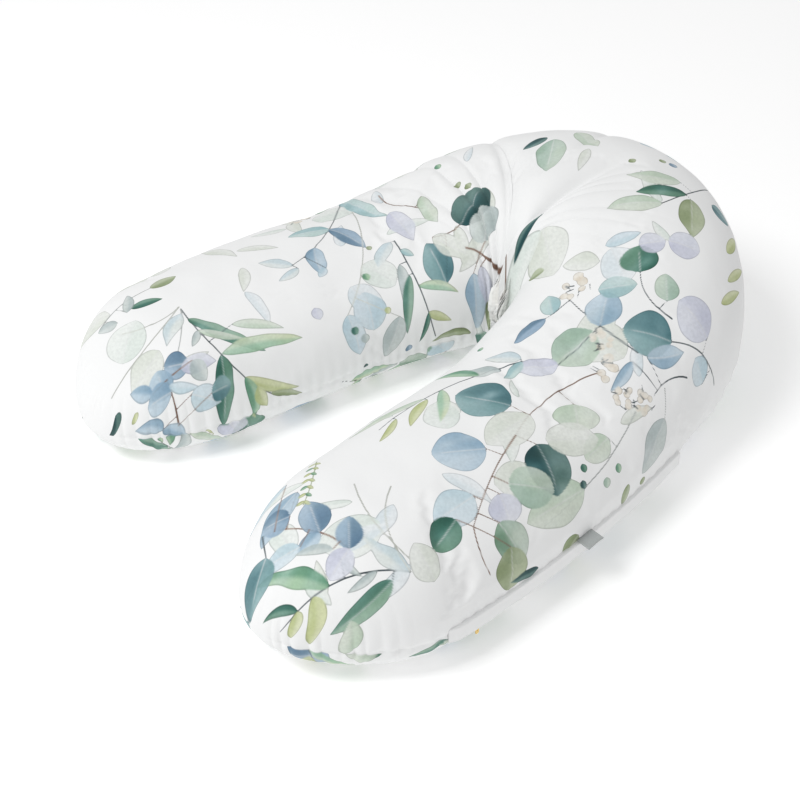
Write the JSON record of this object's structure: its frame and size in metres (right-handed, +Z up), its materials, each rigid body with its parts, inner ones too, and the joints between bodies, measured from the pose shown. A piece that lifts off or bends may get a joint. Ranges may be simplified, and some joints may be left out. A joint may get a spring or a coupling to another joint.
{
  "type": "nursing pillow",
  "caption": "Long stuffed pillow bent into a U that rests round the waist, with a zipped printed cotton cover over an inner liner and fibre filling.",
  "frame": {"origin": "on the resting surface, under the middle of the pillow's bounding box", "axes": "+Z up from the resting surface; +Y towards the closed end of the U, the arms reach to -Y; +X towards the arm with the zip and the label"},
  "size_m": [0.7073, 0.8331, 0.264],
  "materials": {
    "cover_print": "matte white cotton with a watercolour print of eucalyptus sprigs",
    "cover_plain": "matte plain white cotton",
    "liner_cotton": "matte undyed cotton",
    "polyester_fibre": "soft white fibre",
    "zip_tape": "woven white tape",
    "zip_coil": "white nylon coil",
    "zip_stops": "pressed metal",
    "zip_gold": "polished gold colour",
    "label_satin": "grey woven satin"
  },
  "bodies": {
    "middle": {"cover_top_middle": "cover_print", "cover_bottom_middle": "cover_print", "liner_top_middle": "liner_cotton", "liner_bottom_middle": "liner_cotton", "filling_middle": "polyester_fibre"},
    "right_arm": {"cover_top_right": "cover_print", "cover_bottom_right": "cover_print", "liner_top_right": "liner_cotton", "liner_bottom_right": "liner_cotton", "filling_right": "polyester_fibre", "zip_tape_upper": "zip_tape", "zip_tape_lower": "zip_tape", "zip_coil_upper": "zip_coil", "zip_coil_lower": "zip_coil", "zip_top_stops": "zip_stops", "zip_bottom_stop": "zip_stops", "zip_flap": "cover_plain", "side_label": "label_satin"},
    "left_arm": {"cover_top_left": "cover_print", "cover_bottom_left": "cover_print", "liner_top_left": "liner_cotton", "liner_bottom_left": "liner_cotton", "filling_left": "polyester_fibre"},
    "zip_slider": {"zip_slider": "zip_gold"},
    "zip_pull": {"zip_pull": "zip_gold"}
  },
  "joints": [
    {"name": "right_arm_flex", "type": "hinge", "parent": "middle", "child": "right_arm", "pos_m": [0.1228, 0.36982, 0.051], "axis": [0, 0, 1], "range_deg": [0, 25]},
    {"name": "left_arm_flex", "type": "hinge", "parent": "middle", "child": "left_arm", "pos_m": [-0.1928, 0.36982, 0.051], "axis": [0, 0, -1], "range_deg": [0, 25]},
    {"name": "zip_slide", "type": "hinge", "parent": "right_arm", "child": "zip_slider", "pos_m": [-1.35214, -0.4091, 0.051], "axis": [0, 0, 1], "range_deg": [0, 11.3]},
    {"name": "pull_swing", "type": "hinge", "parent": "zip_slider", "child": "zip_pull", "pos_m": [0.34606, -0.20392, 0.051], "axis": [0.9928, 0.12, 0], "range_deg": [-60, 60]}
  ]
}
